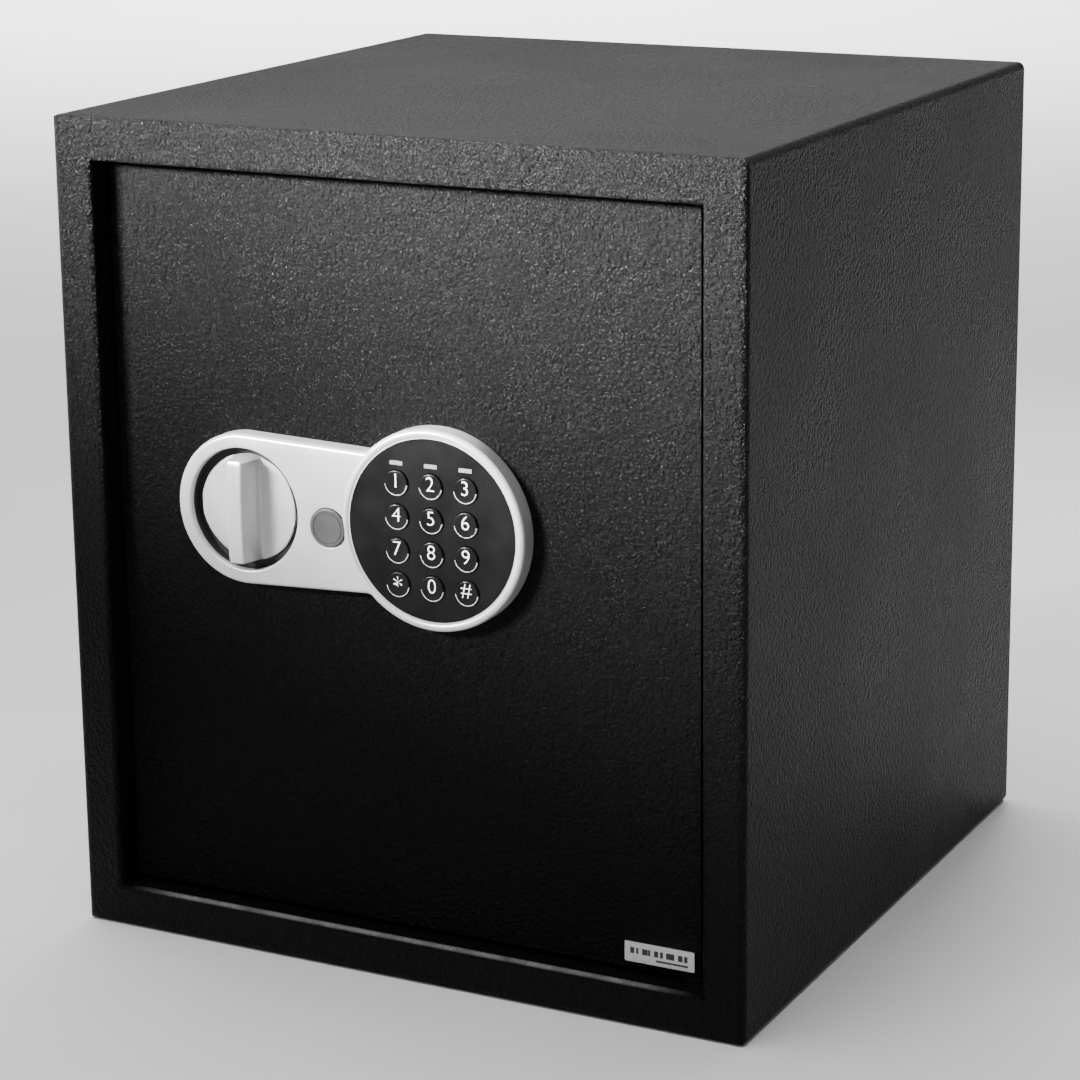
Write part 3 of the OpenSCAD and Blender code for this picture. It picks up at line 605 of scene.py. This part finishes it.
def make_housing():
    """A hollow shell: a rounded skin, a bead round the keypad, a well for the knob, bosses."""
    edge = 2.4 * MM
    flat = PANEL_FRONT + 0.7 * MM  # the lobe and the neck lie a little behind the keypad's bead
    beyond = PANEL_BACK + 1 * MM
    rounded = [(panel_outline(edge - edge * math.cos(math.radians(a))),
                flat + edge - edge * math.sin(math.radians(a))) for a in range(0, 91, 15)]
    shell = solid(prism([(panel_outline(0), PANEL_BACK)] + rounded))

    room = solid(prism([(panel_outline(SHELL), beyond), (panel_outline(SHELL), flat + SHELL)]))
    boss_r = 4 * MM
    boss_middles = [round_middle(group) for group in loose_groups("panel_screws")]
    well_wall = 1.5 * MM
    top = flat + 1 * MM
    pillars = [turned([(WELL_R + well_wall, top), (WELL_R + well_wall, beyond)], LOBE)]
    pillars += [turned([(boss_r, top), (boss_r, beyond)], middle, steps=32)
                for middle in boss_middles]
    combine(room, [solid(pillar) for pillar in pillars])

    rim_outer = PAD_R - 0.02 * MM
    rim_inner = FACE_R + 0.2 * MM
    rim_middle = (rim_outer + rim_inner) / 2
    half = (rim_outer - rim_inner) / 2
    rim_root = flat + 3.4 * MM
    crest = 2.4 * MM  # from the bead's front to where its round ends
    bead = [(rim_outer, rim_root), (rim_outer, PANEL_FRONT + 2.6 * MM)]
    bead += [(rim_middle + half * math.cos(math.radians(a)),
              PANEL_FRONT + crest * (1 - math.sin(math.radians(a)))) for a in range(0, 181, 12)]
    bead += [(rim_inner, rim_root)]
    cap_r = box_radius("keyhole_cap")
    bush_r = box_radius("knob_bush")
    screw_r = 1.8 * MM
    screw_end = PANEL_BACK - 5.5 * MM
    holes = [
        [(rim_inner, PANEL_FRONT - 1 * MM), (rim_inner, beyond)],
        flared_hole(WELL_R, 1.1 * MM, flat, WELL_FLOOR),
        [(bush_r, flat), (bush_r, beyond)],
        flared_hole(cap_r + 0.2 * MM, 0.5 * MM, flat, flat + SHELL + 1 * MM),
    ]
    centers = [PAD, LOBE, LOBE, (CAP_MIDDLE[0], CAP_MIDDLE[2])]
    cuts = [solid(turned(hole, center, steps=144)) for hole, center in zip(holes, centers)]
    cuts += [solid(turned([(screw_r, screw_end), (screw_r, beyond)], middle, 24))
             for middle in boss_middles]
    combine(shell, [room] + cuts)
    combine(shell, [solid(ring_of(bead, PAD, 144))], "UNION")
    finish_piece(shell, "panel_shell", "silver_paint", "door", ["panel_housing"])

    # A dark grey lining over the knob well's wall and floor: painted shade in the well round the
    # knob.
    outer, inner = WELL_R - 0.05 * MM, WELL_R - 0.3 * MM
    under, over = WELL_FLOOR - 0.1 * MM, WELL_FLOOR - 0.35 * MM
    mouth = flat + 3.2 * MM
    lining = [(outer, mouth), (outer, under), (bush_r, under), (bush_r, over), (inner, over),
              (inner, mouth)]
    finish_piece(solid(ring_of(lining, LOBE, 96)), "well_shade_lining", "inner_plastic", "door",
                 material=MATERIALS["painted_well_shade"])


def make_knob():
    """A dished round base and a tall tapered grip, swept across X as strips along Z."""
    low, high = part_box("knob")
    radius = box_radius("knob")
    front, back = low[1], high[1]
    base = back - 2 * MM
    dish = 0.9 * MM
    foot = 7.3 * MM
    crown = 4.7 * MM
    root = 2.2 * MM  # fillet where the grip rises from the base
    nose = 1.6 * MM  # rounding of the grip's front edges
    lean = math.degrees(math.atan2(foot - crown, base - front))

    half = [(i / 5 * (crown - nose), front) for i in range(6)]
    half += [(crown - nose + nose * math.sin(math.radians(a)),
              front + nose - nose * math.cos(math.radians(a)))
             for a in range(10, int(90 - lean) + 1, 10)]
    half += [(foot - 0.1 * MM + root - root * math.cos(math.radians(a)),
              base - root + root * math.sin(math.radians(a)) + dish * 0.2)
             for a in range(0, 91, 15)]
    outer = foot + root
    edge = 0.8 * MM
    count = 12
    for i in range(1, count + 1):
        x = outer + (radius - edge - outer) * i / count
        hollow = math.sin(math.pi * (i / count) ** 0.8)
        half.append((x, base + dish * (0.2 + 0.6 * hollow) * (1 - (i / count) ** 6)))
    half += [(radius - edge + edge * math.sin(math.radians(a)) * 0.98,
              base + edge - edge * math.cos(math.radians(a))) for a in (30, 60, 80)]
    profile = [(-x, y) for x, y in reversed(half[1:])] + half

    steps = 36
    shy = 1.2 * MM  # the grip's ends stop this far inside the base
    bow = 0.9 * MM  # the grip's front falls back towards its ends
    end_drop = 0.5 * MM  # and its last tenth is rounded off
    bm = bmesh.new()
    strips = []
    for x, y in profile:
        raised = max(0.0, min(1.0, (base - y) / (base - front)))
        limit = radius - shy * min(1.0, raised * 4)
        reach = math.sqrt(max(limit * limit - x * x, 1e-12))
        strip = []
        for j in range(steps + 1):
            t = -math.cos(math.pi * j / steps)
            drop = (abs(t) - 0.9) / 0.1 if abs(t) > 0.9 else 0.0
            strip.append((LOBE[0] + x, y + bow * raised * t * t + end_drop * drop ** 2,
                          LOBE[1] + reach * t))
        strips.append(strip)
    rows = skin(bm, strips, closed_rows=False)
    ring = [row[0] for row in rows] + rows[-1][1:-1]
    ring += [row[-1] for row in reversed(rows)] + rows[0][-2:0:-1]
    wall = []
    for vert in ring:
        direction = Vector((vert.co.x - LOBE[0], vert.co.z - LOBE[1]))
        direction = direction.normalized() * (radius - 0.05 * MM)
        wall.append(bm.verts.new((LOBE[0] + direction.x, back, LOBE[1] + direction.y)))
    for i in range(len(ring)):
        j = (i + 1) % len(ring)
        bm.faces.new((ring[i], ring[j], wall[j], wall[i]))
    bm.faces.new(wall)
    add_piece("knob_grip", bm, "knob_paint", "knob", ["knob"])


def make_cap():
    """A shallow domed cap with a fine groove near its rim."""
    low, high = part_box("keyhole_cap")
    radius = box_radius("keyhole_cap")
    front = low[1]
    edge = 0.7 * MM
    inside = front + 2.1 * MM
    skirt = radius - 1.5 * MM
    hollow = radius - 3 * MM
    profile = [(0.0, front + 0.15 * MM), (radius * 0.45, front + 0.12 * MM),
               (radius * 0.78, front + 0.05 * MM), (radius * 0.80, front + 0.3 * MM),
               (radius * 0.82, front + 0.05 * MM)]
    profile += [(radius - edge + edge * math.sin(math.radians(a)),
                 front + edge - edge * math.cos(math.radians(a))) for a in range(0, 91, 18)]
    profile += [(radius, inside), (skirt, inside), (skirt, high[1]), (hollow, high[1]),
                (hollow, inside), (0.0, inside)]
    add_piece("keyhole_cover", turned(profile, (CAP_MIDDLE[0], CAP_MIDDLE[2])), "cap_plastic",
              "keyhole_cap", ["keyhole_cap"])


# ---- keypad ----

FIGURES = {"key_star": "*", "key_0": "0", "key_hash": "#"}
FIGURES.update({f"key_{i}": str(i) for i in range(1, 10)})
FIGURE_SIZE = 10.6 * MM
STAR_SIZE = 13.2 * MM
FIGURE_RISE = 1.3 * MM  # figures sit above the key's middle, clear of the arc


def key_profile(radius, flange, front, back, edge):
    """Half section of a key: a slightly dished face, a rounded rim and a hidden flange."""
    flange_top = back - 0.9 * MM
    profile = [(0.0, front + 0.25 * MM), (radius * 0.5, front + 0.2 * MM),
               (radius - edge - 0.4 * MM, front + 0.04 * MM)]
    profile += [(radius - edge + edge * math.sin(math.radians(a)),
                 front + edge - edge * math.cos(math.radians(a))) for a in range(0, 91, 15)]
    return profile + [(radius, flange_top), (flange, flange_top), (flange, back), (0.0, back)]


def make_key(name):
    """A rubber key, and a white arc round the lower part of its rim: a painted reflection of the
    pale floor in the rim's rounded edge.
    """
    low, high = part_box(name)
    middle = box_middle(name)
    center = (middle[0], middle[2])
    flange = 1 * MM
    radius = box_radius(name) - flange
    front = low[1]
    edge = 0.9 * MM
    section = key_profile(radius, radius + flange, front, high[1], edge)
    add_piece(name + "_cap", turned(section, center, steps=64), "key_rubber", name, [name])
    # painted reflection: a white band on the rim's lower bevel, where the rim reflects the floor
    lift = 0.06 * MM
    print_and_reflection_layer = 0.1 * MM
    band = [(radius - edge + (edge + lift) * math.sin(math.radians(a)),
             front + edge - (edge + lift) * math.cos(math.radians(a))) for a in range(26, 63, 9)]
    band += [(r - print_and_reflection_layer, y + print_and_reflection_layer) for r, y in reversed(band)]
    bm = turned(band + band[:1], center, steps=40, start=188, sweep=164)
    bmesh.ops.holes_fill(bm, edges=bm.edges)
    add_piece(name + "_painted_rim_reflection", bm, "key_rubber", name, material=WHITE_PRINT_AND_REFLECTION)


def make_figure(name, figure):
    """A key's figure, as raised white print."""
    low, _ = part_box(name)
    middle = box_middle(name)
    curve = bpy.data.curves.new(name + "_figure", "FONT")
    curve.body = figure
    curve.size = STAR_SIZE if figure == "*" else FIGURE_SIZE
    curve.align_x = "CENTER"
    curve.align_y = "CENTER"
    curve.extrude = 0.12 * MM
    curve.offset = -0.14 * MM
    curve.resolution_u = 6
    text = bpy.data.objects.new("text", curve)
    bpy.context.scene.collection.objects.link(text)
    graph = bpy.context.evaluated_depsgraph_get()
    mesh = bpy.data.meshes.new_from_object(text.evaluated_get(graph))
    bpy.data.objects.remove(text)
    xs = [v.co.x for v in mesh.vertices]
    ys = [v.co.y for v in mesh.vertices]
    middle_x = (min(xs) + max(xs)) / 2
    middle_y = (min(ys) + max(ys)) / 2
    place = Matrix.Translation((middle[0], low[1] + 0.1 * MM, middle[2] + FIGURE_RISE))
    upright = Matrix.Rotation(math.radians(90), 4, "X")
    mesh.transform(place @ upright @ Matrix.Translation((-middle_x, -middle_y, 0)))
    mesh.materials.clear()
    mesh.materials.append(WHITE_PRINT_AND_REFLECTION)
    mesh.name = name + "_figure"
    piece = bpy.data.objects.new(name + "_figure", mesh)
    bpy.context.scene.collection.objects.link(piece)
    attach(piece, name)


def make_keypad():
    for name, figure in FIGURES.items():
        make_key(name)
        make_figure(name, figure)


# ---- felt mat ----

def make_mat():
    """The felt mat: a soft sheet with round corners and edges, and the two anchor holes."""
    low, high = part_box("floor_mat")
    middle = box_middle("floor_mat")
    hole_r = 14 * MM
    hole_x = 110 * MM
    hole_y = 30 * MM
    corner = 6 * MM
    edge = 1.1 * MM
    corners = [(high[0], high[1], 0), (low[0], high[1], 90), (low[0], low[1], 180),
               (high[0], low[1], 270)]
    sections = [(edge * (1 - math.cos(math.radians(a))), high[2] - edge
                 + edge * math.sin(math.radians(a))) for a in range(0, 91, 30)]
    sections = [(0.0, low[2])] + sections
    bm = bmesh.new()
    loops = []
    for inset, z in sections:
        loop = []
        for x, y, start in corners:
            cx = x - math.copysign(corner, x - middle[0])
            cy = y - math.copysign(corner, y - middle[1])
            loop += [(px, py, z) for px, py in arc(cx, cy, corner - inset, start, start + 90, 8)]
        loops.append(loop)
    rows = skin(bm, loops)
    bm.faces.new(rows[0])
    bm.faces.new(rows[-1])
    mat = solid(bm)
    cuts = []
    for x in (-hole_x, hole_x):
        bm = bmesh.new()
        bmesh.ops.create_cone(bm, cap_ends=True, segments=48, radius1=hole_r, radius2=hole_r,
                              depth=20 * MM)
        bmesh.ops.translate(bm, vec=(x, hole_y, middle[2]), verts=bm.verts)
        cuts.append(solid(bm))
    combine(mat, cuts)
    finish_piece(mat, "felt_mat", "felt", "body", ["floor_mat"])


# ---- badge ----

def make_badge_bars():
    """Plain dark bars printed on the badge in place of its wording."""
    low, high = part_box("badge_plate")
    width = high[0] - low[0]
    height = high[2] - low[2]
    face = low[1]
    print_and_reflection_layer = 0.08 * MM
    bm = bmesh.new()
    widths_mm = [2.2, 1.2, 3.0, 1.2, 2.2, 1.6, 3.4, 1.2, 2.4, 1.8]
    pitch = width * 0.86 / len(widths_mm)
    row = low[2] + height * 0.42
    bars = [(low[0] + width * 0.08 + pitch * i, row, w * MM, height * 0.30)
            for i, w in enumerate(widths_mm)]
    underline = (low[0] + width * 0.45, low[2] + height * 0.18, width * 0.46, height * 0.10)
    for x, z, w, h in bars + [underline]:
        made = bmesh.ops.create_cube(bm, size=1.0)["verts"]
        bmesh.ops.scale(bm, vec=(w, print_and_reflection_layer, h), verts=made)
        bmesh.ops.translate(bm, vec=(x + w / 2, face, z + h / 2), verts=made)
    add_piece("badge_bars", bm, "badge", "door", material=DARK_INK)


# ---- stage, light and camera ----

STUDIO_LEFT = 0.70
STUDIO_RIGHT = 0.20


def make_stage():
    """A pale floor, and the studio round it."""
    mesh = bpy.data.meshes.new("floor")
    bm = bmesh.new()
    bmesh.ops.create_grid(bm, x_segments=8, y_segments=8, size=9)
    bm.to_mesh(mesh)
    bm.free()
    mesh.materials.append(floor_paper())
    floor = bpy.data.objects.new("floor", mesh)
    bpy.context.scene.collection.objects.link(floor)
    bpy.context.scene.world = make_studio()


def make_studio():
    """A studio that is bright on the left and dim on the right."""
    world = bpy.data.worlds.new("studio")
    world.use_nodes = True
    tree = world.node_tree
    coords = tree.nodes.new("ShaderNodeTexCoord")
    axes = tree.nodes.new("ShaderNodeSeparateXYZ")
    across = tree.nodes.new("ShaderNodeMapRange")
    for key, number in (("From Min", -1), ("From Max", 1), ("To Min", 0), ("To Max", 1)):
        across.inputs[key].default_value = number
    ramp = tree.nodes.new("ShaderNodeValToRGB")
    for element, grey in zip(ramp.color_ramp.elements, (STUDIO_LEFT, STUDIO_RIGHT)):
        element.color = (grey, grey * 1.01, grey * 1.02, 1)
    ramp.color_ramp.elements[0].position = 0.25
    ramp.color_ramp.elements[1].position = 0.8
    tree.links.new(coords.outputs["Generated"], axes.inputs[0])
    tree.links.new(axes.outputs["X"], across.inputs["Value"])
    tree.links.new(across.outputs[0], ramp.inputs["Fac"])
    tree.links.new(ramp.outputs["Color"], tree.nodes["Background"].inputs["Color"])
    return world


def add_softbox(name, place, target, size, power, spread):
    """A rectangular lamp: its size in metres, power in watts and spread in degrees."""
    light = bpy.data.lights.new(name, "AREA")
    light.shape = "RECTANGLE"
    light.size, light.size_y = size
    light.energy = power
    light.spread = math.radians(spread)
    lamp = bpy.data.objects.new(name, light)
    lamp.location = place
    lamp.rotation_euler = (Vector(target) - Vector(place)).to_track_quat("-Z", "Y").to_euler()
    bpy.context.scene.collection.objects.link(lamp)


def make_lights():
    """The key lights the upper front; the rest light the top, the floor and the back."""
    add_softbox("key_light", (-0.78, -1.14, 0.80), (0.0, -0.19, 0.60), (0.5, 0.2), 41, 34)
    add_softbox("strip_light", (0.0, -0.62, 1.5), (0.0, -0.19, 0.0), (1.3, 0.15), 1.5, 60)
    add_softbox("top_light", (-0.5, 0.4, 2.2), (-0.1, 0.1, 0.0), (1.8, 1.6), 23, 130)
    add_softbox("far_light", (-2.4, 3.9, 3.0), (-2.5, 4.6, 0.0), (3.2, 2.6), 330, 130)
    add_softbox("back_light", (-0.25, 1.7, 0.30), (-0.02, 0.19, 0.3), (0.7, 0.22), 3, 60)


CAMERA_PLACE = (0.7575, -1.4888, 0.6494)
CAMERA_YAW = -27.31
CAMERA_PITCH = 13.88
CAMERA_ROLL = -0.655
CAMERA_LENS = 106.4
CAMERA_SHIFT = (-0.003, -0.0875)


def make_camera():
    """The photograph's view of the safe, from the front right and a little above."""
    camera = bpy.data.cameras.new("view")
    camera.sensor_width = 36
    camera.lens = CAMERA_LENS
    camera.shift_x, camera.shift_y = CAMERA_SHIFT
    camera.clip_start = 0.05
    camera.clip_end = 40
    eye = bpy.data.objects.new("view", camera)
    aim = Matrix.Rotation(math.radians(-CAMERA_YAW), 4, "Z")
    tilt = Matrix.Rotation(math.radians(90 - CAMERA_PITCH), 4, "X")
    roll = Matrix.Rotation(math.radians(CAMERA_ROLL), 4, "Z")
    eye.matrix_world = Matrix.Translation(CAMERA_PLACE) @ aim @ tilt @ roll
    bpy.context.scene.collection.objects.link(eye)
    bpy.context.scene.camera = eye


make_camera()
make_stage()
make_lights()
dress_cad_nodes()
make_housing()
make_knob()
make_cap()
make_keypad()
make_mat()
make_badge_bars()
